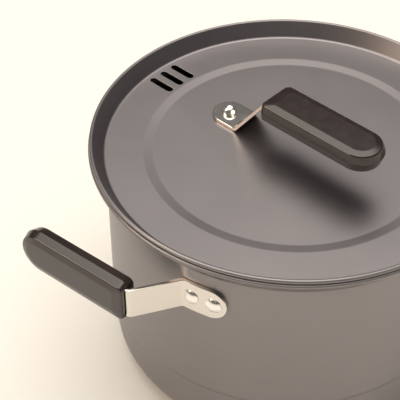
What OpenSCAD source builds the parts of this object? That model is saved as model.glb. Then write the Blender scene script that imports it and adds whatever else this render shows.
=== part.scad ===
// Stovetop cooking pot with a sunken lid and cantilevered side grips.
// Origin: centre of the pot's base on the surface it stands on. +Z is up,
// the two side handles are riveted on at -X and +X.

/* [Pot] */
// Outer diameter of the pot wall
pot_d = 202; // [160:1:260]
// Height of the pot to the top of its rolled rim
pot_h = 144.1; // [112:0.1:190]
// Thickness of the pot's aluminium sheet
pot_t = 1.5; // [1:0.1:2.5]
// Outer radius of the corner between wall and base
corner_r = 20; // [8:1:24]
// Height of the shoulder ring above the base
shoulder_z = 42; // [38:1:48]
// How far the wall below the shoulder ring is set in
shoulder_in = 1.2; // [0.4:0.1:2.5]
// Height of the sloping part of the shoulder ring
shoulder_h = 3; // [1:0.5:6]
// Diameter of the rolled bead on the pot's rim
pot_bead_d = 2.4; // [2.2:0.1:2.5]
// Radius of the bend where the wall turns out into the mouth
mouth_bend_r = 4; // [2:0.5:8]
// How far the rolled rim stands out past the wall
rim_out = 9; // [8:0.5:12]
// Slope of the lip that carries the rolled rim, from level
lip_slope = 20; // [10:1:30]
// Radius of the bend between the mouth and that lip
lip_bend_r = 1; // [0.5:0.1:2]

/* [Lid] */
// How far the lid's edge lies inside the pot's rim
lid_in = 0.6; // [0.4:0.1:1.2]
// How far the lid's edge stands above the pot's rim
lid_up = 2.7; // [2.6:0.1:3.2]
// Thickness of the lid's aluminium sheet
lid_t = 1; // [0.8:0.1:1.4]
// Diameter of the rolled bead on the lid's edge
lid_bead_d = 2.4; // [2.2:0.1:2.5]
// Depth of the lid's sunken ring below the top of its edge
recess = 8.9; // [8:0.1:11]
// Slope of the lid's side and of the pot's mouth, from level
seat_slope = 58; // [54:1:62]
// Upper radius of the bend at the foot of the lid's side
foot_r = 2; // [1.5:0.1:4]
// Gap between the lid and the pot when the lid is on
lid_gap = 0.3; // [0.2:0.05:0.6]
// Width of the flat ring between the lid's side and the step round its centre panel
ring_w = 20.2; // [19:0.1:24]
// Width of that step
panel_step = 5.4; // [2:0.2:8]
// How far the centre panel lies below the ring round it
panel_drop = 0.6; // [0.3:0.1:1.5]
// Direction in which the lid's handle points, round the pot
lid_turn = -105; // [-180:1:180]

/* [Vents] */
// Number of vent slots
vent_n = 3; // [1:1:4]
// Length of each slot over its round ends
vent_len = 16.5; // [10:0.5:17]
// Width of each slot
vent_w = 4; // [2:0.5:5]
// Distance between neighbouring slots
vent_pitch = 8.6; // [6:0.2:10]
// Clear lid between the step and the inner ends of the slots
vent_margin = 1.5; // [1:0.1:4]

/* [Straps] */
// Width of the steel strap
strap_w = 19; // [15:0.5:22]
// Thickness of the steel strap
strap_t = 2; // [1.5:0.1:3]
// Centreline radius of the bend next to the rivets
bend_r1 = 3; // [2:0.5:5]
// Centreline radius of the bend next to the grip
bend_r2 = 3; // [2.5:0.5:5]
// Width of the tang inside the grip
tang_w = 13; // [8:0.5:15]
// Length of the tang beyond its shoulders
tang_len = 38; // [20:1:45]

/* [Side handles] */
// Distance of the straps' middle below the top of the pot's rim
side_drop = 31.3; // [26:0.1:50]
// Distance between the two rivets, along the wall
side_pitch = 12.7; // [9:0.1:14]
// Distance from the middle of the riveted tab to its bend
side_tab = 11.8; // [10:0.1:15]
// Distance from the middle of the tab to its round end
side_tab_end = 13.4; // [11:0.1:16]
// Angle at which the arm leaves the wall
side_arm_angle = 45; // [35:1:60]
// Length of the arm between its bends
side_arm = 28.3; // [20:0.1:36]
// How far the grip turns back towards the pot, from parallel to the tab
side_grip_in = 10; // [0:1:14]
// Distance from the second bend to the grip
side_neck = 1.6; // [1.5:0.1:8]

/* [Lid handle] */
// Distance of the lid's rivet from the middle of the lid
lid_rivet_r = 43.8; // [36:0.1:52]
// How far the handle sits to one side of the lid's middle line
lid_handle_side = -1.7; // [-4:0.1:4]
// Distance from the rivet to the bend
lid_tab = 11.7; // [9:0.1:14]
// Height the arm climbs between the strap's two levels
lid_arm_rise = 26.5; // [16:0.1:32]
// Distance the arm covers along the lid
lid_arm_run = 19.1; // [14:0.1:26]
// Distance from the second bend to the grip
lid_neck = 0.6; // [0.5:0.1:8]

/* [Grips] */
// Length of each grip
grip_len = 70.8; // [58:0.1:82]
// Width of each grip at its widest line, half way through its thickness
grip_w = 25.8; // [24:0.2:30]
// Thickness of each grip
grip_t = 11; // [10:0.5:14]
// How far the strap lies off that middle, towards the outer face
grip_strap_off = 1.1; // [0:0.1:1.5]
// How far the sides lean in from the widest line to each face's edge
grip_side_in = 1.6; // [1:0.1:2.4]
// Width of the small bevel along those edges
grip_edge = 0.9; // [0.5:0.1:1.2]
// Distance from the outer face's flat to the grip's edge
grip_bevel = 3.7; // [2.5:0.1:4.5]
// How far the shallow bevel round that flat drops
grip_bevel_drop = 0.9; // [0.4:0.1:1.2]
// Length of that bevel at the strap's end
grip_end_bevel = 6; // [4.5:0.5:8]
// Size of the corners cut off at the strap's end
grip_corner = 2.6; // [1:0.1:2.8]
// Depth of the recess round the strap in the grip's end
mouth_depth = 4; // [2:0.5:6]
// Clearance round the strap in that recess
mouth_gap = 0.4; // [0.3:0.1:0.6]

/* [Rivets] */
// Diameter of the rivets' shanks
shank_d = 4; // [3:0.1:4.8]
// Diameter of the domed heads on the side handles
side_head_d = 8.8; // [6:0.1:8.8]
// Diameter of the domed head on the lid
lid_head_d = 8.2; // [8:0.1:9]
// Height of the side handles' domed heads
head_h = 2; // [1.2:0.1:2.6]
// Height of the dome on the lid's head
lid_head_h = 3.6; // [1.5:0.1:4]
// Height of the round collar below that dome
lid_collar = 1; // [0.3:0.1:2]
// Height of the low heads inside
inner_head_h = 1.2; // [0.8:0.1:1.6]
// How much wider the low heads inside are
inner_head_extra = 1.4; // [0.4:0.2:3]

/* [Hidden] */
$fn = 96;
// Segments in each bend of a strap and each bend of a sheet
bend_n = 8;
// Segments in the pot's large corner and in a side strap's curved tab
corner_n = 16;
// Radial clearance round the rivets' shanks
shank_gap = 0.05;
// Side clearance of the tang in its slot
tang_gap = 0.1;
// How far a cutting tool runs past the face it cuts
past = 1;
// Gap between a side strap and the wall it is riveted to
wall_gap = 0.02;
// Straight stretch of a side strap between its curved tab and its bend
tab_straight = 3;

pot_r = pot_d / 2;
rim_r = pot_r + rim_out;
lid_r = rim_r - lid_in;
lid_bead_r = lid_bead_d / 2;
pot_bead_r = pot_bead_d / 2;
lid_top = pot_h + lid_up;
ring_z = lid_top - recess;
panel_z = ring_z - panel_drop;
low_r = pot_r - shoulder_in;
side_z = pot_h - side_drop;

// Side handle: half the angle between its rivets, seen from the pot's axis
strap_mid_r = pot_r + wall_gap + strap_t / 2;
strap_out_r = strap_mid_r + strap_t / 2;
rivet_turn = side_pitch / 2 / strap_out_r * 180 / PI;
// The curved tab ends at these angles: just past its round end, and where it
// runs straight into its bend
tab_back_turn = asin((side_tab_end + past) / pot_r);
leave_turn = (side_tab - tab_straight) / strap_mid_r * 180 / PI;

aluminium = [0.50, 0.49, 0.49];
steel = [0.82, 0.80, 0.77];
phenolic = [0.14, 0.11, 0.11];
rivet_metal = [0.88, 0.87, 0.85];

function dir(a) = [cos(a), sin(a)];
function reversed(l) = [for (i = [len(l) - 1:-1:0]) l[i]];
function arc(c, r, a, b, n) = [for (i = [0:n]) c + r * dir(a + (b - a) * i / n)];

// The lid's side and the pot's mouth are parallel cones. These give the radius
// and the height on a cone that lies a distance off outside the lid's upper one.
function seat_at(off) = [lid_r - lid_bead_r - (lid_bead_r - off) * sin(seat_slope),
                         lid_top - lid_bead_r + (lid_bead_r - off) * cos(seat_slope)];
function seat_x(off, z) = seat_at(off).x + (z - seat_at(off).y) / tan(seat_slope);
function seat_z(off, x) = seat_at(off).y + (x - seat_at(off).x) * tan(seat_slope);

// The lid's ring runs from the foot of its side in to the step, and the slots
// start just outside the step
panel_out_r = seat_x(-foot_r, ring_z + foot_r) - ring_w;
panel_in_r = panel_out_r - panel_step;
vent_r = panel_out_r + vent_margin + vent_len / 2;

// One side of a bend at corner v, from heading a to heading b, off to the left
function bend(v, a, b, r, off) =
    let (s = sign(b - a), m = r * tan(abs(b - a) / 2),
         c = v - m * dir(a) + s * r * dir(a + 90))
    [for (i = [0:bend_n]) c - s * (r - s * off) * dir(a + 90 + (b - a) * i / bend_n)];

// One face of a strap's two bends and its tang, for a tab that ends at p
function strap_face(p, heads, lens, off) =
    let (v1 = p + lens[0] * dir(heads[0]), v2 = v1 + lens[1] * dir(heads[1]))
    concat(bend(v1, heads[0], heads[1], bend_r1, off),
           bend(v2, heads[1], heads[2], bend_r2, off),
           [v2 + lens[2] * dir(heads[2]) + off * dir(heads[2] + 90)]);

// Length of the strap from its second bend to the end of the tang
function strap_end(neck) = neck + mouth_depth + tang_len;

// Side handle, drawn on +X with its arm and grip towards -Y
side_start = strap_mid_r * dir(-leave_turn);
side_heads = [-90 - leave_turn, -90 + side_arm_angle, -90 - side_grip_in];
side_lens = [tab_straight, side_arm, strap_end(side_neck)];
function side_face(off) =
    concat(arc([0, 0], strap_mid_r + off, tab_back_turn, -leave_turn, corner_n),
           strap_face(side_start, side_heads, side_lens, off));
side_bend2 = side_start + side_lens[0] * dir(side_heads[0])
             + side_lens[1] * dir(side_heads[1]);
side_butt = side_bend2 + side_neck * dir(side_heads[2]);

// Lid handle, drawn along +X with its height as the second value
lid_arm_angle = atan(lid_arm_rise / lid_arm_run);
lid_start = [-lid_rivet_r, panel_z + strap_t / 2];
lid_heads = [0, lid_arm_angle, 0];
lid_lens = [lid_tab, norm([lid_arm_run, lid_arm_rise]), strap_end(lid_neck)];
lid_butt = lid_start + [lid_tab + lid_arm_run + lid_neck, lid_arm_rise];
function lid_strap_face(off) =
    concat([lid_start + [0, off]], strap_face(lid_start, lid_heads, lid_lens, off));

// Pot ---------------------------------------------------------------

// Centre of the rolled bead, which the lip's upper face runs into
pot_bead = [rim_r - pot_bead_r, pot_h - pot_bead_r];
// Centre of the bend between the mouth, a distance off outside the lid's upper
// cone, and the lip
lip_off = lid_t + lid_gap + pot_t + lip_bend_r;
lip_up = dir(90 + lip_slope);
lip_level = lip_up * pot_bead + pot_bead_r - pot_t - lip_bend_r;
lip_bend = seat_at(lip_off) + dir(seat_slope)
           * (lip_level - lip_up * seat_at(lip_off)) / (lip_up * dir(seat_slope));

// One face of the pot's sheet from the base to the rim, in by t
function pot_face(t) =
    let (bend_off = lid_t + lid_gap + pot_t + mouth_bend_r,
         mouth = [pot_r + mouth_bend_r, seat_z(bend_off, pot_r + mouth_bend_r)])
    concat([[0, t]],
           arc([low_r - corner_r, corner_r], corner_r - t, -90, 0, corner_n),
           [[low_r - t, shoulder_z - shoulder_h / 2],
            [pot_r - t, shoulder_z + shoulder_h / 2]],
           arc(mouth, mouth_bend_r + t, 180, 90 + seat_slope, bend_n),
           arc(lip_bend, lip_bend_r + t, 90 + seat_slope, 90 + lip_slope, bend_n),
           [pot_bead + (pot_bead_r - pot_t + t) * lip_up]);

module pot_body() {
    color(aluminium)
    difference() {
        union() {
            rotate_extrude()
            polygon(concat(pot_face(0), reversed(pot_face(pot_t))));
            rotate_extrude()
            translate(pot_bead)
            circle(pot_bead_r);
        }
        for (side = [0, 180], turn = [-rivet_turn, rivet_turn])
            rotate([0, 0, side + turn])
            shank_hole();
    }
}

// Lid ---------------------------------------------------------------

// One face of the lid's sheet from its middle to the edge, down by t
function lid_face(t) =
    let (foot = [seat_x(-foot_r, ring_z + foot_r), ring_z + foot_r],
         bead = [lid_r - lid_bead_r, lid_top - lid_bead_r])
    concat([[0, panel_z - t]],
           [for (i = [0:bend_n])
               let (s = i / bend_n)
               [panel_in_r + panel_step * s, panel_z - t + panel_drop * (1 - cos(180 * s)) / 2]],
           arc(foot, foot_r + t, -90, seat_slope - 90, bend_n),
           [bead + (lid_bead_r - t) * dir(90 + seat_slope)]);

module lid_shell() {
    color(aluminium)
    rotate([0, 0, lid_turn])
    difference() {
        union() {
            rotate_extrude()
            polygon(concat(lid_face(0), reversed(lid_face(lid_t))));
            rotate_extrude()
            translate([lid_r - lid_bead_r, lid_top - lid_bead_r])
            circle(lid_bead_r);
        }
        for (i = [0:vent_n - 1])
            translate([-vent_r, (i - (vent_n - 1) / 2) * vent_pitch, ring_z - lid_t - past])
            vent_cutter();
        translate([-lid_rivet_r, lid_handle_side, panel_z - lid_t - past])
        cylinder(d = shank_d + 2 * shank_gap, h = lid_t + 2 * past);
    }
}

// A slot with round ends, standing along the lid's middle line
module vent_cutter() {
    height = lid_t + 2 * past;
    straight = vent_len - vent_w;
    translate([-straight / 2, -vent_w / 2, 0])
    cube([straight, vent_w, height]);
    for (end = [-1, 1])
        translate([end * straight / 2, 0, 0])
        cylinder(d = vent_w, h = height);
}

// Straps ------------------------------------------------------------

// The space a strap keeps: all of it up to the tang's shoulders at x = 0, and
// only the narrower tang beyond. The strap's width lies along Y.
module tang_keep(reach) {
    translate([-reach, -strap_w, -reach])
    cube([reach, 2 * strap_w, 2 * reach]);
    translate([-past, -tang_w / 2, -reach])
    cube([past + reach, tang_w, 2 * reach]);
}

module lid_bracket() {
    keep = lid_rivet_r + grip_len;
    color(steel)
    rotate([0, 0, lid_turn])
    translate([0, lid_handle_side, 0])
    difference() {
        union() {
            intersection() {
                translate([0, strap_w / 2, 0])
                rotate([90, 0, 0])
                linear_extrude(strap_w)
                polygon(concat(lid_strap_face(strap_t / 2),
                               reversed(lid_strap_face(-strap_t / 2))));
                translate([lid_butt.x + mouth_depth, 0, lid_butt.y])
                tang_keep(keep);
            }
            translate([-lid_rivet_r, 0, panel_z])
            cylinder(d = strap_w, h = strap_t);
        }
        translate([-lid_rivet_r, 0, panel_z - past])
        cylinder(d = shank_d + 2 * shank_gap, h = strap_t + 2 * past);
    }
}

// The outline of the side strap's tab, looking along +X, cut square well
// past the grip
module side_tab_outline(reach) {
    round_y = side_tab_end - strap_w / 2;
    translate([round_y, 0])
    circle(d = strap_w);
    translate([-reach, -strap_w / 2])
    square([reach + round_y, strap_w]);
}

// The rivet's hole on the +X side, through the strap and the wall
module shank_hole() {
    translate([pot_r - pot_t - past, 0, side_z])
    rotate([0, 90, 0])
    cylinder(d = shank_d + 2 * shank_gap, h = pot_t + strap_t + 2 * past);
}

module side_bracket() {
    reach = grip_len + side_arm + pot_r;
    color(steel)
    difference() {
        intersection() {
            translate([0, 0, side_z - strap_w])
            linear_extrude(2 * strap_w)
            polygon(concat(side_face(strap_t / 2), reversed(side_face(-strap_t / 2))));
            translate([0, 0, side_z])
            rotate([90, 0, 90])
            linear_extrude(2 * reach)
            side_tab_outline(reach);
            translate([side_butt.x, side_butt.y, side_z])
            rotate([0, 0, side_heads[2]])
            rotate([-90, 0, 0])
            translate([mouth_depth, 0, 0])
            tang_keep(reach);
        }
        for (turn = [-rivet_turn, rivet_turn])
            rotate([0, 0, turn])
            shank_hole();
    }
}

// Grips -------------------------------------------------------------

// Half of the grip's section, from its middle plane to its widest line
function grip_half() =
    let (w = grip_w / 2, e = w - grip_side_in, h = grip_t / 2)
    [[0, -h], [e - grip_edge, -h], [e, -h + grip_edge], [w, 0],
     [e, h - grip_bevel_drop - grip_edge], [e - grip_edge, h - grip_bevel_drop],
     [e - grip_bevel, h], [0, h]];

// A grip whose end face is at x = 0 and whose strap enters along +X at z = 0.
// Its outer face looks along +Z.
module grip() {
    straight = grip_len - grip_w / 2;
    color(phenolic)
    difference() {
        translate([0, 0, -grip_strap_off])
        difference() {
            union() {
                rotate([90, 0, 90])
                linear_extrude(straight)
                polygon(concat(grip_half(), reversed([for (p = grip_half()) [-p.x, p.y]])));
                translate([straight, 0, 0])
                rotate([0, 0, -90])
                rotate_extrude(angle = 180)
                polygon(grip_half());
            }
            end_bevel(grip_t / 2, grip_end_bevel, grip_bevel_drop + 0.3);
            end_bevel(grip_t / 2, grip_edge, 2 * grip_edge + grip_bevel_drop);
            end_bevel(-grip_t / 2, grip_edge, -grip_edge);
            for (side = [-1, 1])
                translate([0, side * grip_w / 2, 0])
                rotate([0, 0, 45])
                cube([grip_corner * sqrt(2), grip_corner * sqrt(2), 2 * grip_t], center = true);
        }
        translate([-past, -strap_w / 2 - mouth_gap, -strap_t / 2 - mouth_gap])
        cube([past + mouth_depth, strap_w + 2 * mouth_gap, strap_t + 2 * mouth_gap]);
        translate([0, -tang_w / 2 - tang_gap, -strap_t / 2])
        cube([mouth_depth + tang_len, tang_w + 2 * tang_gap, strap_t]);
    }
}

// A wedge that takes the end face's edge down from height z by drop, and runs
// out along the grip at distance reach
module end_bevel(z, reach, drop) {
    over = past * drop / reach;
    top = z + (drop > 0 ? past : -past);
    rotate([90, 0, 0])
    linear_extrude(grip_w + 2 * past, center = true)
    polygon([[-past, z - drop - over], [reach + past, z + over],
             [reach + past, top + over], [-past, top + over]]);
}

module side_grip() {
    translate([side_butt.x, side_butt.y, side_z])
    rotate([0, 0, side_heads[2]])
    rotate([-90, 0, 0])
    grip();
}

module lid_grip() {
    rotate([0, 0, lid_turn])
    translate([lid_butt.x, lid_handle_side, lid_butt.y])
    grip();
}

// Rivets ------------------------------------------------------------

// A shallow dome of diameter d and height h on the plane z = 0, with a collar
// below it that reaches down by skirt
module dome(d, h, skirt) {
    ball = (d * d / 4 + h * h) / (2 * h);
    intersection() {
        translate([0, 0, h - ball])
        sphere(ball);
        cylinder(d = d, h = h);
    }
    translate([0, 0, -skirt])
    cylinder(d = d, h = skirt);
}

module lid_rivet() {
    color(rivet_metal)
    rotate([0, 0, lid_turn])
    translate([-lid_rivet_r, lid_handle_side, 0]) {
        translate([0, 0, panel_z + strap_t + lid_collar])
        dome(lid_head_d, lid_head_h, lid_collar);
        translate([0, 0, panel_z - lid_t])
        cylinder(d = shank_d, h = lid_t + strap_t);
        translate([0, 0, panel_z - lid_t])
        rotate([180, 0, 0])
        dome(lid_head_d + inner_head_extra, inner_head_h, 0);
    }
}

// A rivet through the wall on the +X side. Its heads follow the round wall.
module side_rivet() {
    seat = 0.3;
    color(rivet_metal)
    translate([0, 0, side_z]) {
        difference() {
            translate([strap_out_r, 0, 0])
            rotate([0, 90, 0])
            dome(side_head_d, head_h - seat, seat);
            cylinder(r = strap_out_r, h = 2 * side_head_d, center = true);
        }
        translate([pot_r - pot_t - seat, 0, 0])
        rotate([0, 90, 0])
        cylinder(d = shank_d, h = strap_out_r - pot_r + pot_t + 2 * seat);
        intersection() {
            translate([pot_r - pot_t - seat, 0, 0])
            rotate([0, -90, 0])
            dome(side_head_d + inner_head_extra, inner_head_h - seat, 2 * seat);
            cylinder(r = pot_r - pot_t, h = 2 * side_head_d, center = true);
        }
    }
}

// Left and right sets -------------------------------------------------

module right_bracket() { side_bracket(); }
module right_grip() { side_grip(); }
module right_rivet_front() { rotate([0, 0, -rivet_turn]) side_rivet(); }
module right_rivet_rear() { rotate([0, 0, rivet_turn]) side_rivet(); }

module left_bracket() { rotate([0, 0, 180]) side_bracket(); }
module left_grip() { rotate([0, 0, 180]) side_grip(); }
module left_rivet_front() { rotate([0, 0, 180 + rivet_turn]) side_rivet(); }
module left_rivet_rear() { rotate([0, 0, 180 - rivet_turn]) side_rivet(); }

pot_body();
lid_shell();
lid_bracket();
lid_grip();
lid_rivet();
left_bracket();
left_grip();
left_rivet_rear();
left_rivet_front();
right_bracket();
right_grip();
right_rivet_rear();
right_rivet_front();
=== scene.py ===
"""A cooking pot with a vented lid: detailed pieces that stand for the part's nodes, and their stage."""

import math

import bmesh
import bpy
from bpy.props import (
    FloatProperty,
    FloatVectorProperty,
    IntProperty,
    PointerProperty,
)
from mathutils import Matrix, Vector


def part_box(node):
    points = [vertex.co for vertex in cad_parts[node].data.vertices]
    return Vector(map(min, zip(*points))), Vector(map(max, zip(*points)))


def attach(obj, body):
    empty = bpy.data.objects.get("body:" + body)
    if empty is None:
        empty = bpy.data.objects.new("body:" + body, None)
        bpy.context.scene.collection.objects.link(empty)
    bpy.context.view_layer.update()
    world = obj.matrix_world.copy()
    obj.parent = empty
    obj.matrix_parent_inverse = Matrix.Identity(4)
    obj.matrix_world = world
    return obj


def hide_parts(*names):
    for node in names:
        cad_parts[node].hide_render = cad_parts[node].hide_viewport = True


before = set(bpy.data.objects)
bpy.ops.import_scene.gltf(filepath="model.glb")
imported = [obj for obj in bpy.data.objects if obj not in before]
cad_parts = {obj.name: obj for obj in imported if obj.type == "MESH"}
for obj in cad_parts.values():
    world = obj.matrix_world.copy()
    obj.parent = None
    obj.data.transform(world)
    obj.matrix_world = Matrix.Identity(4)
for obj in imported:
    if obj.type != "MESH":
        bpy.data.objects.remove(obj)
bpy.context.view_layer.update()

bl_info = {
    "name": "Cooking Pot Looks",
    "version": (1, 0, 0),
    "blender": (4, 5, 0),
    "location": "View3D > Sidebar > Pot",
    "description": "Builds a cooking pot's visible pieces round its packed part",
    "category": "Mesh",
}

MM = 0.001
ROUND = 256  # segments round the pot and the lid
SHARP = math.radians(35)
BEND_STEP = 4  # degrees of a strap's bend between two cuts across it
FLOOR_RADIUS = 6  # metres

POT_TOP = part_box("pot_body")[1].z
POT_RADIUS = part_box("pot_body")[1].x
LID_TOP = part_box("lid_shell")[1].z
LID_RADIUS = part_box("lid_shell")[1].x


# Colour and units ------------------------------------------------------


def from_hex(text):
    """The linear colour, with alpha, of an sRGB hex value."""
    parts = [int(text[i : i + 2], 16) / 255 for i in (0, 2, 4)]
    return tuple(
        c / 12.92 if c <= 0.04045 else ((c + 0.055) / 1.055) ** 2.4 for c in parts
    ) + (1.0,)


def length(name, description, mm, exact=None):
    """A length that a user may change, given in millimetres, or exactly in metres."""
    default = mm * MM if exact is None else exact
    return FloatProperty(
        name=name,
        description=description,
        default=default,
        precision=5,
        unit="LENGTH",
        subtype="DISTANCE",
    )


def angle(name, description, degrees):
    """An angle that a user may change, given in degrees."""
    return FloatProperty(
        name=name,
        description=description,
        default=math.radians(degrees),
        unit="ROTATION",
        subtype="ANGLE",
    )


def colour(name, description, text):
    """A colour that a user may change, given as an sRGB hex value."""
    return FloatVectorProperty(
        name=name,
        description=description,
        default=from_hex(text),
        size=4,
        min=0,
        max=1,
        subtype="COLOR",
    )


# Sizes and finishes ----------------------------------------------------


class PotSizes(bpy.types.PropertyGroup):
    """Sizes of the pot's sheet."""

    radius: length("Wall radius", "Outer radius of the upper wall", 101)
    top: length("Height", "Height of the rolled rim above the base", 0, POT_TOP)
    sheet: length("Sheet", "Thickness of the aluminium sheet", 1.5)
    corner: length("Corner radius", "Outer radius between wall and base", 20)
    shoulder: length("Shoulder height", "Height of the shoulder ring", 42)
    shoulder_in: length("Shoulder inset", "How far the lower wall is set in", 1.2)
    shoulder_rise: length("Shoulder rise", "Height of the sloping part", 3)
    bead: length("Rim bead", "Diameter of the rolled rim", 2.4)
    mouth_bend: length("Mouth bend", "Radius where the wall turns out", 4)
    rim: length("Rim radius", "Radius over the rolled rim", 0, POT_RADIUS)
    lip_slope: angle("Lip slope", "Slope of the lip that carries the rim", 20)
    lip_bend: length("Lip bend", "Radius between the mouth and the lip", 1)


class LidSizes(bpy.types.PropertyGroup):
    """Sizes of the lid's sheet and its slots."""

    radius: length("Lid radius", "Radius over the rolled edge", 0, LID_RADIUS)
    top: length("Lid top", "Height of the rolled edge's top", 0, LID_TOP)
    sheet: length("Sheet", "Thickness of the aluminium sheet", 1)
    bead: length("Edge bead", "Diameter of the rolled edge", 2.4)
    recess: length("Recess", "Depth of the sunken ring below the edge", 8.9)
    slope: angle("Side slope", "Slope of the lid's side and the pot's mouth", 58)
    foot: length("Foot radius", "Upper radius at the foot of the side", 2)
    gap: length("Seat gap", "Gap between lid and mouth", 0.3)
    ring: length("Ring width", "Width of the flat ring outside the step", 20.2)
    step: length("Step width", "Width of the step round the panel", 5.4)
    panel_drop: length("Panel drop", "Depth of the panel below the ring", 0.6)
    turn: angle("Handle direction", "Direction in which the handle points", -105)
    slots: IntProperty(name="Slots", description="Number of vents", default=3, min=1)
    slot_length: length("Slot length", "Length of each slot over its ends", 16.5)
    slot_width: length("Slot width", "Width of each slot", 4)
    slot_pitch: length("Slot pitch", "Distance between neighbouring slots", 8.6)
    slot_margin: length("Slot margin", "Clear lid between step and slots", 1.5)


class StrapSizes(bpy.types.PropertyGroup):
    """Sizes of the bent steel straps."""

    width: length("Width", "Width of the strap", 19)
    thickness: length("Thickness", "Thickness of the strap", 2)
    edge: length("Edge radius", "Radius of the tumbled edges", 0.35)
    bend_tab: length("Tab bend", "Centreline radius next to the rivets", 3)
    bend_grip: length("Grip bend", "Centreline radius next to the grip", 3)
    tang_width: length("Tang width", "Width inside the grip", 13)
    tang_length: length("Tang length", "Length inside the grip", 38)
    drop: length("Side drop", "Distance of the side straps below the rim", 31.3)
    wall_gap: length("Wall gap", "Gap between strap and wall", 0.02)
    side_pitch: length("Rivet pitch", "Distance between a side strap's rivets", 12.7)
    side_tab: length("Side tab", "From the tab's middle to its bend", 11.8)
    side_end: length("Side tab end", "From the tab's middle to its end", 13.4)
    side_leave: angle("Side arm angle", "Angle at which the arm leaves the wall", 45)
    side_arm: length("Side arm", "Length of the arm between its bends", 28.3)
    side_in: angle("Side grip angle", "How far the grip turns back in", 10)
    side_neck: length("Side neck", "From the second bend to the grip", 1.6)
    lid_rivet: length("Lid rivet", "Distance of the rivet from the middle", 43.8)
    lid_aside: length("Lid aside", "Sideways offset of the lid's handle", -1.7)
    lid_tab: length("Lid tab", "From the rivet to the bend", 11.7)
    lid_rise: length("Lid arm rise", "Height that the lid's arm climbs", 26.5)
    lid_run: length("Lid arm run", "Distance that the lid's arm covers", 19.1)
    lid_neck: length("Lid neck", "From the second bend to the grip", 0.6)


class GripSizes(bpy.types.PropertyGroup):
    """Sizes of the moulded grips."""

    length: length("Length", "Length of each grip", 70.8)
    width: length("Width", "Width at the widest line, half way through", 25.8)
    thickness: length("Thickness", "Thickness of each grip", 11)
    strap_off: length("Strap offset", "How far the strap lies outwards of the middle", 1.1)
    lean: length("Lean", "How far the sides lean in to each face", 1.6)
    bevel: length("Bevel", "Width of the shallow bevel round the outer face", 3.7)
    drop: length("Bevel drop", "How far that bevel falls", 0.9)
    end_bevel: length("End bevel", "Length of that bevel at the strap's end", 6)
    edge: length("Edge radius", "Radius along the outer edges", 1.3)
    corner: length("Corner radius", "Plan radius of the corners at the strap", 3.5)
    mouth: length("Mouth depth", "Depth of the recess round the strap", 4)
    mouth_gap: length("Mouth gap", "Clearance round the strap", 0.4)


class RivetSizes(bpy.types.PropertyGroup):
    """Sizes of the rivets."""

    shank: length("Shank", "Diameter of the shanks", 4)
    side_head: length("Side head", "Diameter of the side handles' heads", 8.8)
    lid_head: length("Lid head", "Diameter of the lid's head", 8.2)
    head: length("Head height", "Height of the side handles' domed heads", 2)
    collar: length("Collar", "Height of the round collar below their domes", 0.35)
    lid_dome: length("Lid dome", "Height of the dome on the lid's head", 3.6)
    lid_collar: length("Lid collar", "Height of the round collar below that dome", 1)
    low_head: length("Low head height", "Height of the heads inside", 1.2)
    low_extra: length("Low head extra", "How much wider those are", 1.4)


class FinishColours(bpy.types.PropertyGroup):
    """Colours of the finishes."""

    anodised: colour("Anodised", "Hard anodised aluminium", "8c8788")
    steel: colour("Steel", "Polished strap steel", "dcd7d0")
    phenolic: colour("Phenolic", "Moulded phenolic", "2c2220")
    rivet: colour("Rivet", "Bright aluminium rivets", "f2efea")
    floor: colour("Floor", "Matte paper floor", "f3f1ec")


class StageSizes(bpy.types.PropertyGroup):
    """Where the camera stands and what it looks at."""

    azimuth: angle("Azimuth", "Camera's direction from the lid's middle", -67.35)
    elevation: angle("Elevation", "Camera's height angle from there", 39.56)
    height: length("Level", "Height of the two points that place the camera", 145.8)
    distance: length("Distance", "From the pot's middle at that level to the camera", 662.6)
    aim_x: length("Aim X", "Where the camera looks, at that level", -68.5)
    aim_y: length("Aim Y", "Where the camera looks, at that level", 19.6)
    lens: FloatProperty(
        name="Lens",
        description="Focal length",
        default=110.24,
        unit="CAMERA",
    )


# Mesh helpers ----------------------------------------------------------


def way(turn):
    """The direction at an angle in radians."""
    return Vector((math.cos(turn), math.sin(turn)))


def arc(centre, radius, start, end, count):
    """Points on an arc, with its angles in degrees."""
    return [
        Vector(centre) + radius * way(math.radians(start + (end - start) * i / count))
        for i in range(count + 1)
    ]


def rounded(points, radii, count=6):
    """An open line whose inner corners are replaced by arcs of the given radii."""
    made = [Vector(points[0])]
    for before, here, after, radius in zip(points, points[1:], points[2:], radii):
        here = Vector(here)
        back = (Vector(before) - here).normalized()
        on = (Vector(after) - here).normalized()
        half = back.angle(on) / 2
        middle = here + (back + on).normalized() * (radius / math.sin(half))
        first = here + back * (radius / math.tan(half)) - middle
        sweep = first.angle_signed(here + on * (radius / math.tan(half)) - middle)
        for i in range(count + 1):
            turn = -sweep * i / count
            made.append(middle + Matrix.Rotation(turn, 2) @ first)
    return made + [Vector(points[-1])]


def finish_mesh(name, shape, material, body, nodes):
    """Turns a bmesh into a piece that rides on a body and stands for CAD nodes."""
    bmesh.ops.recalc_face_normals(shape, faces=shape.faces)
    mesh = bpy.data.meshes.new(name)
    shape.to_mesh(mesh)
    shape.free()
    piece = bpy.data.objects.new(name, mesh)
    bpy.context.scene.collection.objects.link(piece)
    mesh.materials.append(material)
    settle(piece)
    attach(piece, body)
    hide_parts(*nodes)
    return piece


def settle(piece):
    """Smooths a piece's shading, with flat faces kept flat and hard edges sharp."""
    piece.data.shade_smooth()
    piece.data.set_sharp_from_angle(angle=SHARP)
    weighted = piece.modifiers.new("flat faces first", "WEIGHTED_NORMAL")
    weighted.keep_sharp = True
    weighted.weight = 90
    bake_modifiers(piece)


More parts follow.
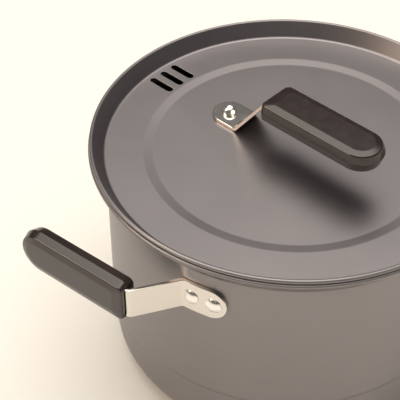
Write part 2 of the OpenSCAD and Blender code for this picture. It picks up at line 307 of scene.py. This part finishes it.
def bake_modifiers(piece):
    """Makes the modified mesh the piece's own."""
    graph = bpy.context.evaluated_depsgraph_get()
    mesh = bpy.data.meshes.new_from_object(
        piece.evaluated_get(graph), preserve_all_data_layers=True, depsgraph=graph
    )
    piece.modifiers.clear()
    piece.data = mesh
    mesh.name = piece.name


def lathe(profile, segments):
    """A closed outline of (radius, height) turned round Z. Points on the axis become poles."""
    shape = bmesh.new()
    rings = []
    for point in profile:
        if point.x < 1e-7:
            rings.append([shape.verts.new((0, 0, point.y))] * segments)
            continue
        rings.append(
            [
                shape.verts.new(
                    (
                        point.x * math.cos(2 * math.pi * i / segments),
                        point.x * math.sin(2 * math.pi * i / segments),
                        point.y,
                    )
                )
                for i in range(segments)
            ]
        )
    for low, high in zip(rings, rings[1:]):
        for i in range(segments):
            j = (i + 1) % segments
            corners = []
            for corner in (low[i], low[j], high[j], high[i]):
                if corner not in corners:
                    corners.append(corner)
            if len(corners) > 2:
                shape.faces.new(corners)
    return shape


def stack(rings):
    """Rings of equally many points joined into a solid, with a face over each end."""
    shape = bmesh.new()
    made = [[shape.verts.new(p) for p in ring] for ring in rings]
    for low, high in zip(made, made[1:]):
        for i in range(len(low)):
            j = (i + 1) % len(low)
            shape.faces.new((low[i], low[j], high[j], high[i]))
    shape.faces.new(made[0][::-1])
    shape.faces.new(made[-1])
    return shape


def inset(outline, distance):
    """A closed outline, drawn counterclockwise, moved inwards."""
    sharpest = 0.3  # keeps a sharp corner from moving further than distance / sharpest
    made = []
    for i, here in enumerate(outline):
        back = (here - outline[i - 1]).normalized()
        on = (outline[(i + 1) % len(outline)] - here).normalized()
        normal = Vector((-back.y - on.y, back.x + on.x)).normalized()
        share = max(sharpest, normal.dot(Vector((-on.y, on.x))))
        made.append(here + normal * (distance / share))
    return made


def carve(piece, cutter_shape):
    """Cuts a bmesh away from a piece."""
    mesh = bpy.data.meshes.new("cutter")
    bmesh.ops.recalc_face_normals(cutter_shape, faces=cutter_shape.faces)
    cutter_shape.to_mesh(mesh)
    cutter_shape.free()
    cutter = bpy.data.objects.new("cutter", mesh)
    bpy.context.scene.collection.objects.link(cutter)
    cut = piece.modifiers.new("cut", "BOOLEAN")
    cut.operation = "DIFFERENCE"
    cut.solver = "EXACT"
    cut.object = cutter
    bake_modifiers(piece)
    bpy.data.objects.remove(cutter)


def box_shape(low, high):
    """A box between two corners."""
    shape = bmesh.new()
    made = bmesh.ops.create_cube(shape, size=1)
    middle, size = (Vector(low) + Vector(high)) / 2, Vector(high) - Vector(low)
    bmesh.ops.transform(
        shape,
        matrix=Matrix.Translation(middle) @ Matrix.Diagonal((*size, 1)),
        verts=made["verts"],
    )
    return shape


# Materials -------------------------------------------------------------


def add_node(tree, kind, sockets=(), **settings):
    """Adds a node. Sockets are pairs of an input and its value or the output that feeds it."""
    made = tree.nodes.new(kind)
    for key, value in settings.items():
        setattr(made, key, value)
    for key, value in sockets:
        if isinstance(value, bpy.types.NodeSocket):
            tree.links.new(value, made.inputs[key])
        else:
            made.inputs[key].default_value = value
    return made


def new_material(name):
    """A material and its Principled shader. The shader is None if the material was there."""
    material = bpy.data.materials.get(name)
    if material:
        return material, None
    material = bpy.data.materials.new(name)
    material.use_nodes = True
    return material, material.node_tree.nodes["Principled BSDF"]


def clouds(tree, size, detail):
    """Noise whose lumps are about the given size."""
    place = add_node(tree, "ShaderNodeTexCoord").outputs["Object"]
    return add_node(
        tree, "ShaderNodeTexNoise", [("Vector", place), ("Scale", 1 / size), ("Detail", detail)]
    ).outputs["Fac"]


def spread(tree, pattern, low, high):
    """The middle of a noise's range, stretched between two values."""
    limits = {"From Min": 0.3, "From Max": 0.7, "To Min": low, "To Max": high}
    return add_node(
        tree, "ShaderNodeMapRange", [("Value", pattern), *limits.items()]
    ).outputs["Result"]


def tint(tree, shader, base, share):
    """Gives a shader a colour that a pattern makes darker and lighter."""
    shade = add_node(
        tree, "ShaderNodeVectorMath", [(0, tuple(base)[:3]), ("Scale", share)], operation="SCALE"
    )
    tree.links.new(shade.outputs[0], shader.inputs["Base Color"])


def surface(tree, shader, gloss, relief, roughness, strength, depth):
    """Gives a shader a roughness between two values by one pattern, and bump by another."""
    tree.links.new(spread(tree, gloss, *roughness), shader.inputs["Roughness"])
    bump = add_node(
        tree, "ShaderNodeBump", [("Height", relief), ("Strength", strength), ("Distance", depth)]
    )
    tree.links.new(bump.outputs[0], shader.inputs["Normal"])


def anodised_aluminium():
    """Drawn aluminium, hard anodised after a fine etch: a satin grey skin, a little cloudy."""
    material, shader = new_material("hard_anodised_aluminium")
    if not shader:
        return material
    tree = material.node_tree
    cloud = clouds(tree, 45 * MM, 3.0)
    # etch grain is about 0.1 mm; drawn at 0.5 mm so that it shows
    grain = clouds(tree, 0.5 * MM, 2.0)
    both = add_node(
        tree,
        "ShaderNodeMath",
        [(0, spread(tree, cloud, 0.96, 1.04)), (1, spread(tree, grain, 0.985, 1.015))],
        operation="MULTIPLY",
    )
    tint(tree, shader, bpy.context.scene.pot_colours.anodised, both.outputs[0])
    surface(tree, shader, cloud, grain, (0.40, 0.44), 0.08, 0.02 * MM)
    shader.inputs["Metallic"].default_value = 1.0
    return material


def polished_steel():
    """Cold-rolled strap, polished and nickel plated: a nearly clear mirror with the
    faint unevenness of polished strip."""
    material, shader = new_material("nickel_plated_strap_steel")
    if not shader:
        return material
    tree = material.node_tree
    waves = clouds(tree, 9 * MM, 2.0)
    surface(tree, shader, waves, waves, (0.07, 0.14), 0.25, 0.05 * MM)
    shader.inputs["Base Color"].default_value = tuple(bpy.context.scene.pot_colours.steel)
    shader.inputs["Metallic"].default_value = 1.0
    return material


def moulded_phenolic():
    """Phenolic resin, compression moulded in a polished steel tool: brown-black, with a
    hard gloss, a trace of flow mottle and a slightly uneven skin."""
    material, shader = new_material("compression_moulded_phenolic")
    if not shader:
        return material
    tree = material.node_tree
    mottle = clouds(tree, 6 * MM, 4.0)
    tint(tree, shader, bpy.context.scene.pot_colours.phenolic, spread(tree, mottle, 0.85, 1.15))
    surface(tree, shader, mottle, mottle, (0.16, 0.22), 0.15, 0.03 * MM)
    shader.inputs["IOR"].default_value = 1.6
    return material


def bright_aluminium():
    """Soft aluminium rivets, upset by a polished punch: a bright head with faint dents."""
    material, shader = new_material("upset_aluminium_rivet")
    if not shader:
        return material
    tree = material.node_tree
    dents = clouds(tree, 1.5 * MM, 2.0)
    surface(tree, shader, dents, dents, (0.18, 0.28), 0.3, 0.05 * MM)
    shader.inputs["Base Color"].default_value = tuple(bpy.context.scene.pot_colours.rivet)
    shader.inputs["Metallic"].default_value = 1.0
    return material


def paper():
    """Matte white paper, with the faint unevenness of its pulp."""
    material, shader = new_material("matte_paper")
    if not shader:
        return material
    tree = material.node_tree
    pulp = clouds(tree, 60 * MM, 2.0)
    rough = add_node(
        tree, "ShaderNodeMapRange", [("Value", pulp), ("To Min", 0.85), ("To Max", 0.95)]
    )
    tree.links.new(rough.outputs["Result"], shader.inputs["Roughness"])
    shader.inputs["Base Color"].default_value = tuple(bpy.context.scene.pot_colours.floor)
    shader.inputs["Specular IOR Level"].default_value = 0.2
    return material


# Pot and lid -----------------------------------------------------------


def seat(lid, off):
    """A point on the cone that lies a distance outside the lid's upper one."""
    bead = lid.bead / 2
    return Vector(
        (
            lid.radius - bead - (bead - off) * math.sin(lid.slope),
            lid.top - bead + (bead - off) * math.cos(lid.slope),
        )
    )


def seat_radius(lid, off, height):
    """The radius of that cone at a height."""
    point = seat(lid, off)
    return point.x + (height - point.y) / math.tan(lid.slope)


def seat_height(lid, off, radius):
    """The height of that cone at a radius."""
    point = seat(lid, off)
    return point.y + (radius - point.x) * math.tan(lid.slope)


def bead_arc(centre, radius, sheet, slope):
    """A rolled edge, from the sheet's upper face over and round to its lower one."""
    start = 90 + math.degrees(slope)
    end = start + math.degrees(math.acos((radius - sheet) / radius)) - 360
    return arc(centre, radius, start, end, 28)


def pot_profile(pot, lid):
    """The pot's outline from the axis: out along one face, round the rim and back."""
    ease = 0.2 * MM  # straight sheet between two bends
    flat = 3 * MM  # flat base inside the corner
    low_bend, high_bend = 2.0 * MM, 3.5 * MM  # of the shoulder ring
    low = pot.radius - pot.shoulder_in
    bend_off = lid.sheet + lid.gap + pot.sheet + pot.mouth_bend
    outside = pot.radius + pot.mouth_bend
    middle = (outside, seat_height(lid, bend_off, outside))
    slope = math.degrees(lid.slope)
    half = pot.shoulder_rise / 2

    def face(t):
        wall = rounded(
            [
                (low - t, pot.corner + ease),
                (low - t, pot.shoulder - half),
                (pot.radius - t, pot.shoulder + half),
                (pot.radius - t, middle[1] - ease),
            ],
            [low_bend + t, high_bend - t],
        )
        return (
            [Vector((0, t)), Vector((low - pot.corner - flat, t))]
            + arc((low - pot.corner, pot.corner), pot.corner - t, -90, 0, 24)
            + wall
            + arc(middle, pot.mouth_bend + t, 180, 90 + slope, 12)
            + arc(lip, pot.lip_bend + t, 90 + slope, 90 + math.degrees(pot.lip_slope), 6)
        )

    bead = pot.bead / 2
    centre = Vector((pot.rim - bead, pot.top - bead))
    up = way(pot.lip_slope + math.pi / 2)
    level = up.dot(centre) + bead - pot.sheet - pot.lip_bend
    start = seat(lid, lid.sheet + lid.gap + pot.sheet + pot.lip_bend)
    lip = start + way(lid.slope) * ((level - up.dot(start)) / up.dot(way(lid.slope)))
    rim = bead_arc(centre, bead, pot.sheet, pot.lip_slope)
    return face(0) + rim[::-1] + face(pot.sheet)[::-1]


def lid_levels(lid):
    """Heights of the ring and the panel, and the radii of the ring and the step."""
    ring = lid.top - lid.recess
    foot = seat_radius(lid, -lid.foot, ring + lid.foot)
    return ring, ring - lid.panel_drop, foot, foot - lid.ring, foot - lid.ring - lid.step


def lid_profile(lid):
    """The lid's outline from the axis: out along one face, round the edge and back."""
    ease = 0.25 * MM  # flat ring beside the bend at its foot
    flat = 1.5 * MM  # flat sheet at either side of the step
    bend = 8 * MM  # of the step's upper face
    ring, panel, foot, step_out, step_in = lid_levels(lid)
    slope = math.degrees(lid.slope)
    bead = lid.bead / 2

    def face(t):
        step = rounded(
            [
                (step_in - flat, panel - t),
                (step_in, panel - t),
                (step_out, ring - t),
                (step_out + flat, ring - t),
            ],
            [bend - t, bend + t],
        )
        return (
            [Vector((0, panel - t))]
            + step
            + [Vector((foot - ease, ring - t))]
            + arc((foot, ring + lid.foot), lid.foot + t, -90, slope - 90, 16)
        )

    edge = bead_arc((lid.radius - bead, lid.top - bead), bead, lid.sheet, lid.slope)
    return face(0) + edge + face(lid.sheet)[::-1]


class POT_OT_body(bpy.types.Operator):
    """Build the pot's drawn shell"""

    bl_idname = "pot.body"
    bl_label = "Pot"

    def execute(self, context):
        scene = context.scene
        finish_mesh(
            "pot_shell",
            lathe(pot_profile(scene.pot_pot, scene.pot_lid), ROUND),
            anodised_aluminium(),
            "pot",
            ["pot_body"],
        )
        return {"FINISHED"}


class POT_OT_lid(bpy.types.Operator):
    """Build the lid's shell and cut its slots"""

    bl_idname = "pot.lid"
    bl_label = "Lid"

    def execute(self, context):
        lid = context.scene.pot_lid
        ring, _, _, step_out, _ = lid_levels(lid)
        piece = finish_mesh(
            "lid_sheet",
            lathe(lid_profile(lid), ROUND),
            anodised_aluminium(),
            "lid",
            ["lid_shell"],
        )
        end = lid.slot_width / 2
        straight = lid.slot_length / 2 - end
        middle = -(step_out + lid.slot_margin + lid.slot_length / 2)
        outline = arc((straight, 0), end, -90, 90, 16)
        outline += arc((-straight, 0), end, 90, 270, 16)
        spin = Matrix.Rotation(lid.turn, 4, "Z")
        for i in range(lid.slots):
            aside = (i - (lid.slots - 1) / 2) * lid.slot_pitch
            shape = stack(
                [
                    [Vector((p.x + middle, p.y + aside, z)) for p in outline]
                    for z in (ring - lid.sheet - MM, ring + MM)
                ]
            )
            bmesh.ops.transform(shape, matrix=spin, verts=shape.verts)
            carve(piece, shape)
        soften_slots(piece, ring, lid.sheet, step_out + lid.slot_margin / 2)
        settle(piece)
        return {"FINISHED"}


def soften_slots(piece, ring, sheet, inside):
    """Rounds the punched edges of the slots a little."""
    softness = 0.22 * MM
    shape = bmesh.new()
    shape.from_mesh(piece.data)
    edges = []
    for edge in shape.edges:
        if len(edge.link_faces) != 2:
            continue
        flat = [abs(f.normal.z) > 0.7 for f in edge.link_faces]
        upright = [abs(f.normal.z) < 0.05 for f in edge.link_faces]
        near = all(
            inside < v.co.xy.length and ring - sheet - 0.2 * MM < v.co.z < ring + MM
            for v in edge.verts
        )
        if any(flat) and any(upright) and near:
            edges.append(edge)
    bmesh.ops.bevel(
        shape, geom=edges, offset=softness, segments=2, profile=0.5, affect="EDGES"
    )
    shape.to_mesh(piece.data)
    shape.free()


# Straps ----------------------------------------------------------------


def along(start, heading, legs, s):
    """The point and heading at a distance along legs of (length, turn)."""
    point = Vector(start)
    for i, (reach, turn) in enumerate(legs):
        part = s if i == len(legs) - 1 else min(s, reach)
        if turn:
            radius = reach / turn
            before, heading = heading, heading + part / radius
            point = point + radius * (way(before + math.pi / 2) - way(heading + math.pi / 2))
        else:
            point = point + part * way(heading)
        s -= part
        if s <= 1e-9 and i < len(legs) - 1:
            break
    return point, heading


def bent(radius, turn):
    """A bend as a leg: its length and its turn."""
    return radius * abs(turn), turn


def tuck(radius, turn):
    """How far a bend's ends lie from its corner."""
    return radius * math.tan(abs(turn) / 2)


def side_route(pot, strap, grip):
    """Start, heading and legs of a side strap on +X."""
    middle = pot.radius + strap.wall_gap + strap.thickness / 2
    back = math.asin(strap.side_end / middle)
    straight = 3 * MM  # from where the strap leaves the wall to its bend's corner
    leave = (strap.side_tab - straight) / middle
    first = strap.side_leave + leave
    second = -(strap.side_leave + strap.side_in)
    legs = [
        ((back + leave) * middle, -(back + leave)),
        (straight - tuck(strap.bend_tab, first), 0),
        bent(strap.bend_tab, first),
        (strap.side_arm - tuck(strap.bend_tab, first) - tuck(strap.bend_grip, second), 0),
        bent(strap.bend_grip, second),
        (strap.side_neck - tuck(strap.bend_grip, second) + grip.mouth + strap.tang_length, 0),
    ]
    return middle * way(back), back - math.pi / 2, legs


def lid_route(lid, strap, grip):
    """The same for the lid's strap, drawn along +X with heights as the second value."""
    panel = lid_levels(lid)[1]
    climb = math.atan2(strap.lid_rise, strap.lid_run)
    start = Vector((-strap.lid_rivet - strap.width / 2, panel + strap.thickness / 2))
    legs = [
        (strap.width / 2 + strap.lid_tab - tuck(strap.bend_tab, climb), 0),
        bent(strap.bend_tab, climb),
        (
            math.hypot(strap.lid_rise, strap.lid_run)
            - tuck(strap.bend_tab, climb)
            - tuck(strap.bend_grip, climb),
            0,
        ),
        bent(strap.bend_grip, -climb),
        (strap.lid_neck - tuck(strap.bend_grip, climb) + grip.mouth + strap.tang_length, 0),
    ]
    return start, 0.0, legs


def strap_shape(strap, legs, place):
    """A flat blank with one round end and a tang, bent along its legs."""
    total = sum(reach for reach, _ in legs)
    half, tang = strap.width / 2, strap.tang_width / 2
    shoulder = total - strap.tang_length
    outline = (
        arc((half, 0), half, 90, 270, 32)
        + [Vector(p) for p in ((shoulder, -half), (shoulder, -tang), (total, -tang))]
        + [Vector(p) for p in ((total, tang), (shoulder, tang), (shoulder, half))]
    )
    edge, level = strap.edge, strap.thickness / 2
    quarter = [
        (edge - edge * math.sin(a), level - edge + edge * math.cos(a))
        for a in [math.pi / 2 * i / 4 for i in range(5)]
    ]
    rounding = quarter + [(d, -h) for d, h in quarter[::-1]]
    shape = stack(
        [[Vector((p.x, p.y, h)) for p in inset(outline, d)] for d, h in rounding[::-1]]
    )
    travelled = 0
    for reach, turn in legs:
        if turn:
            cuts = max(4, round(abs(math.degrees(turn)) / BEND_STEP))
            for i in range(cuts + 1):
                bmesh.ops.bisect_plane(
                    shape,
                    geom=shape.verts[:] + shape.edges[:] + shape.faces[:],
                    dist=1e-7,
                    plane_co=(travelled + reach * i / cuts, 0, 0),
                    plane_no=(1, 0, 0),
                )
        travelled += reach
    for vert in shape.verts:
        vert.co = place(vert.co.x, vert.co.y, vert.co.z)
    return shape


class POT_OT_side_straps(bpy.types.Operator):
    """Build the two bent straps on the pot's sides"""

    bl_idname = "pot.side_straps"
    bl_label = "Side straps"

    def execute(self, context):
        scene = context.scene
        pot, strap = scene.pot_pot, scene.pot_strap
        start, heading, legs = side_route(pot, strap, scene.pot_grip)
        height = pot.top - strap.drop
        for name, spin in (("right", 0), ("left", math.pi)):
            turned = Matrix.Rotation(spin, 4, "Z")

            def place(s, w, h):
                point, course = along(start, heading, legs, s)
                point = point + h * way(course + math.pi / 2)
                return turned @ Vector((point.x, point.y, height + w))

            finish_mesh(
                name + "_strap",
                strap_shape(strap, legs, place),
                polished_steel(),
                "pot",
                [name + "_bracket"],
            )
        return {"FINISHED"}


class POT_OT_lid_strap(bpy.types.Operator):
    """Build the bent strap on the lid"""

    bl_idname = "pot.lid_strap"
    bl_label = "Lid strap"

    def execute(self, context):
        scene = context.scene
        lid, strap = scene.pot_lid, scene.pot_strap
        start, heading, legs = lid_route(lid, strap, scene.pot_grip)
        turned = Matrix.Rotation(lid.turn, 4, "Z")

        def place(s, w, h):
            point, course = along(start, heading, legs, s)
            point = point + h * way(course + math.pi / 2)
            return turned @ Vector((point.x, w + strap.lid_aside, point.y))

        finish_mesh(
            "lid_strap",
            strap_shape(strap, legs, place),
            polished_steel(),
            "lid",
            ["lid_bracket"],
        )
        return {"FINISHED"}


# Grips -----------------------------------------------------------------


def grip_outline(grip, d, outer):
    """The grip seen from above, moved in by d: a butt with round corners and a round end.
    On the outer half the butt moves in further, for its longer bevel."""
    corner_share = 0.4  # of that move, which the corners' radius loses
    half = grip.width / 2 - d
    past_edge = max(0, d - grip.lean)
    butt = past_edge * (grip.end_bevel / grip.bevel if outer else 1)
    corner = grip.corner - d * corner_share
    middle = grip.length - grip.width / 2
    return (
        arc((butt + corner, -half + corner), corner, 180, 270, 10)
        + arc((middle, 0), half, -90, 90, 48)
        + arc((butt + corner, half - corner), corner, 90, 180, 10)
    )


def grip_shape(grip):
    """A bar that is widest at its faint parting line, with a shallow bevel round its face."""
    level = grip.thickness / 2
    flat = 2.5 * MM  # a ring of each face, outside the polygon that closes it
    seam = 0.07 * MM  # half the parting line's width
    soft = 1.5 * MM  # radius between the bevel and the face
    back = rounded(
        [(grip.lean + flat, -level), (grip.lean, -level), (seam, -seam)],
        [grip.edge],
    )
    face = rounded(
        [
            (seam, seam),
            (grip.lean, level - grip.drop),
            (grip.lean + grip.bevel, level),
            (grip.lean + grip.bevel + flat, level),
        ],
        [grip.edge, soft],
    )
    parting = Vector((2 * seam, 0))
    rings = [(p, False) for p in (*back, parting)] + [(p, True) for p in face]
    return stack(
        [
            [Vector((p.x, p.y, row.y - grip.strap_off)) for p in grip_outline(grip, row.x, outer)]
            for row, outer in rings
        ]
    )


def build_grip(name, node, body, grip, strap, matrix):
    """Builds one grip, hollows its mouth and its slot for the tang, and places it."""
    piece = finish_mesh(
        name, grip_shape(grip), moulded_phenolic(), body, [node]
    )
    level = strap.thickness / 2
    half, high = strap.width / 2 + grip.mouth_gap, level + grip.mouth_gap
    carve(piece, box_shape((-MM, -half, -high), (grip.mouth, half, high)))
    overlap, slack = 0.5 * MM, 0.1 * MM  # of the two hollows, and at the tang's sides
    tang, end = strap.tang_width / 2 + slack, grip.mouth + strap.tang_length
    carve(piece, box_shape((grip.mouth - overlap, -tang, -level), (end, tang, level)))
    piece.data.transform(matrix)
    settle(piece)


class POT_OT_grips(bpy.types.Operator):
    """Build the three moulded grips"""

    bl_idname = "pot.grips"
    bl_label = "Grips"

    def execute(self, context):
        scene = context.scene
        pot, lid = scene.pot_pot, scene.pot_lid
        strap, grip = scene.pot_strap, scene.pot_grip
        inside = grip.mouth + strap.tang_length
        start, heading, legs = side_route(pot, strap, grip)
        butt, course = along(start, heading, legs, sum(r for r, _ in legs) - inside)
        side = (
            Matrix.Translation((butt.x, butt.y, pot.top - strap.drop))
            @ Matrix.Rotation(course, 4, "Z")
            @ Matrix.Rotation(-math.pi / 2, 4, "X")
        )
        build_grip("right_grip_moulding", "right_grip", "pot", grip, strap, side)
        half_turn = Matrix.Rotation(math.pi, 4, "Z")
        build_grip("left_grip_moulding", "left_grip", "pot", grip, strap, half_turn @ side)
        start, heading, legs = lid_route(lid, strap, grip)
        butt, _ = along(start, heading, legs, sum(r for r, _ in legs) - inside)
        place = Matrix.Translation((butt.x, strap.lid_aside, butt.y))
        top = Matrix.Rotation(lid.turn, 4, "Z") @ place
        build_grip("lid_grip_moulding", "lid_grip", "lid", grip, strap, top)
        return {"FINISHED"}


# Rivets ----------------------------------------------------------------


def rivet_shape(rivet, head, tall, collar, hold):
    """A rivet along Z: a dome on a collar above z = 0, and its low head below what it holds."""
    dome_share = 0.97  # of the dome, before its edge is rounded off
    sunk, eased = 0.05 * MM, 0.1 * MM  # the head's lower face, and that face's edge
    wide = head / 2
    ball = (wide * wide + (tall - collar) ** 2) / (2 * (tall - collar))
    top = [
        Vector((ball * math.sin(a), tall - ball + ball * math.cos(a)))
        for a in [math.asin(wide / ball) * dome_share * i / 14 for i in range(15)]
    ]
    rim = arc((top[-1].x, collar), wide - top[-1].x, 60, 0, 3)
    low, flat = wide + rivet.low_extra / 2, rivet.low_head
    low_ball = (low * low + flat * flat) / (2 * flat)
    under = [
        Vector((low_ball * math.sin(a), -hold - flat + low_ball - low_ball * math.cos(a)))
        for a in [math.asin(low / low_ball) * i / 12 for i in range(12, -1, -1)]
    ]
    shank = rivet.shank / 2
    neck = [Vector(p) for p in ((wide - eased, -sunk), (shank, -sunk), (shank, -hold))]
    return lathe(top + rim + neck + under, 64)


def set_rivet(name, shape, place, body, node):
    """Moves a rivet to its place and finishes it."""
    bmesh.ops.transform(shape, matrix=place, verts=shape.verts)
    finish_mesh(name, shape, bright_aluminium(), body, [node])


class POT_OT_rivets(bpy.types.Operator):
    """Build the lid's rivet and the four side rivets"""

    bl_idname = "pot.rivets"
    bl_label = "Rivets"

    def execute(self, context):
        scene = context.scene
        pot, lid = scene.pot_pot, scene.pot_lid
        strap, rivet = scene.pot_strap, scene.pot_rivet
        tall = rivet.lid_dome + rivet.lid_collar
        hold = lid.sheet + strap.thickness
        shape = rivet_shape(rivet, rivet.lid_head, tall, rivet.lid_collar, hold)
        level = lid_levels(lid)[1] + strap.thickness
        place = Matrix.Translation((-strap.lid_rivet, strap.lid_aside, level))
        place = Matrix.Rotation(lid.turn, 4, "Z") @ place
        set_rivet("lid_rivet_head", shape, place, "lid", "lid_rivet")
        face = pot.radius + strap.wall_gap + strap.thickness
        hold = pot.sheet + strap.thickness + strap.wall_gap
        half = strap.side_pitch / 2 / face
        lying = Matrix.Translation((face, 0, pot.top - strap.drop)) @ Matrix.Rotation(
            math.pi / 2, 4, "Y"
        )
        for side, spin, facing in (("right", 0, 1), ("left", math.pi, -1)):
            for end, turn in (("front", -facing), ("rear", facing)):
                shape = rivet_shape(rivet, rivet.side_head, rivet.head, rivet.collar, hold)
                place = Matrix.Rotation(spin + turn * half, 4, "Z") @ lying
                name = f"{side}_rivet_{end}"
                set_rivet(name + "_head", shape, place, "pot", name)
        return {"FINISHED"}


# Stage -----------------------------------------------------------------

# The room, in directions seen from the pot with the camera at 270 degrees:
# azimuth, elevation, inner and outer half-angle of the glow, colour, strength
GLOWS = (
    ("overhead box", 90, 80, 18, 42, "fffaf2", 2.6),
    ("left box", 196, 38, 9, 20, "ffe9cf", 6.0),
)
ROOM = (
    # height of the direction, colour, strength
    (-1.0, "fdfaf3", 0.9),
    (0.02, "fdfaf3", 0.9),
    (0.12, "8f8a86", 0.35),
    (0.45, "8a8a90", 0.30),
    (0.75, "b4b1ae", 0.60),
    (1.0, "d8d4ce", 0.90),
)


def room_light(scene, turn):
    """A studio as a glow by direction, turned about Z: soft boxes in a dim room over a
    white table."""
    world = bpy.data.worlds.new("studio")
    world.use_nodes = True
    scene.world = world
    tree = world.node_tree
    tree.nodes.clear()
    place = add_node(tree, "ShaderNodeTexCoord").outputs["Generated"]
    height = add_node(tree, "ShaderNodeSeparateXYZ", [(0, place)]).outputs["Z"]
    level = add_node(
        tree, "ShaderNodeMapRange", [("Value", height), ("From Min", -1.0), ("From Max", 1.0)]
    ).outputs["Result"]
    ramp = add_node(tree, "ShaderNodeValToRGB", [("Fac", level)])
    stops = ramp.color_ramp.elements
    while len(stops) < len(ROOM):
        stops.new(0.5)
    for stop, (z, text, strength) in zip(stops, ROOM):
        stop.position = (z + 1) / 2
        stop.color = [c * strength for c in from_hex(text)[:3]] + [1]
    total = ramp.outputs["Color"]
    for label, azimuth, elevation, inner, outer, text, strength in GLOWS:
        az, el = math.radians(azimuth) + turn, math.radians(elevation)
        aim = (math.cos(az) * math.cos(el), math.sin(az) * math.cos(el), math.sin(el))
        near = add_node(
            tree, "ShaderNodeVectorMath", [(0, place), (1, aim)], operation="DOT_PRODUCT"
        ).outputs["Value"]
        share = add_node(
            tree,
            "ShaderNodeMapRange",
            [
                ("Value", near),
                ("From Min", math.cos(math.radians(outer))),
                ("From Max", math.cos(math.radians(inner))),
            ],
            interpolation_type="SMOOTHSTEP",
            label=label,
        ).outputs["Result"]
        glow = tuple(c * strength for c in from_hex(text)[:3])
        total = add_node(
            tree,
            "ShaderNodeVectorMath",
            [(0, glow), (1, share), (2, total)],
            operation="MULTIPLY_ADD",
        ).outputs[0]
    back = add_node(tree, "ShaderNodeBackground", [("Color", total)])
    add_node(tree, "ShaderNodeOutputWorld", [("Surface", back.outputs[0])])


class POT_OT_stage(bpy.types.Operator):
    """Build the floor, the light and the camera"""

    bl_idname = "pot.stage"
    bl_label = "Stage"

    def execute(self, context):
        scene = context.scene
        stage = scene.pot_stage
        shape = bmesh.new()
        bmesh.ops.create_circle(shape, cap_ends=True, segments=96, radius=FLOOR_RADIUS)
        mesh = bpy.data.meshes.new("floor")
        shape.to_mesh(mesh)
        shape.free()
        mesh.materials.append(paper())
        floor = bpy.data.objects.new("floor", mesh)
        scene.collection.objects.link(floor)
        floor.location.z = -0.05 * MM  # so that it never lies in the base's own plane

        room_light(scene, stage.azimuth)

        seen = bpy.data.cameras.new("camera")
        seen.lens = stage.lens
        seen.sensor_width = 36  # millimetres
        camera = bpy.data.objects.new("camera", seen)
        scene.collection.objects.link(camera)
        back = Vector(
            (
                math.sin(stage.azimuth) * math.cos(stage.elevation),
                -math.cos(stage.azimuth) * math.cos(stage.elevation),
                math.sin(stage.elevation),
            )
        )
        middle = Vector((0, 0, stage.height))
        camera.location = middle + back * stage.distance
        aim = Vector((stage.aim_x, stage.aim_y, stage.height)) - camera.location
        camera.rotation_mode = "QUATERNION"
        camera.rotation_quaternion = aim.to_track_quat("-Z", "Y")
        scene.camera = camera
        scene.view_settings.view_transform = "Standard"
        return {"FINISHED"}


# Panel and registration --------------------------------------------------


class POT_PT_panel(bpy.types.Panel):
    """Lists the pot's pieces and their sizes"""

    bl_label = "Cooking Pot"
    bl_idname = "POT_PT_panel"
    bl_space_type = "VIEW_3D"
    bl_region_type = "UI"
    bl_category = "Pot"

    def draw(self, context):
        for operator in OPERATORS:
            self.layout.operator(operator.bl_idname)
        for title, group in GROUPS.items():
            box = self.layout.box()
            box.label(text=group.__doc__)
            held = getattr(context.scene, title)
            for name in group.__annotations__:
                box.prop(held, name)


GROUPS = {
    "pot_pot": PotSizes,
    "pot_lid": LidSizes,
    "pot_strap": StrapSizes,
    "pot_grip": GripSizes,
    "pot_rivet": RivetSizes,
    "pot_colours": FinishColours,
    "pot_stage": StageSizes,
}
OPERATORS = (
    POT_OT_body,
    POT_OT_lid,
    POT_OT_side_straps,
    POT_OT_lid_strap,
    POT_OT_grips,
    POT_OT_rivets,
    POT_OT_stage,
)


def register():
    for kind in (*GROUPS.values(), *OPERATORS, POT_PT_panel):
        bpy.utils.register_class(kind)
    for name, group in GROUPS.items():
        setattr(bpy.types.Scene, name, PointerProperty(type=group))


def unregister():
    for name in GROUPS:
        delattr(bpy.types.Scene, name)
    for kind in reversed((*GROUPS.values(), *OPERATORS, POT_PT_panel)):
        bpy.utils.unregister_class(kind)


def main():
    register()
    bpy.ops.pot.stage()
    bpy.ops.pot.body()
    bpy.ops.pot.lid()
    bpy.ops.pot.side_straps()
    bpy.ops.pot.lid_strap()
    bpy.ops.pot.grips()
    bpy.ops.pot.rivets()


if __name__ == "__main__":
    main()
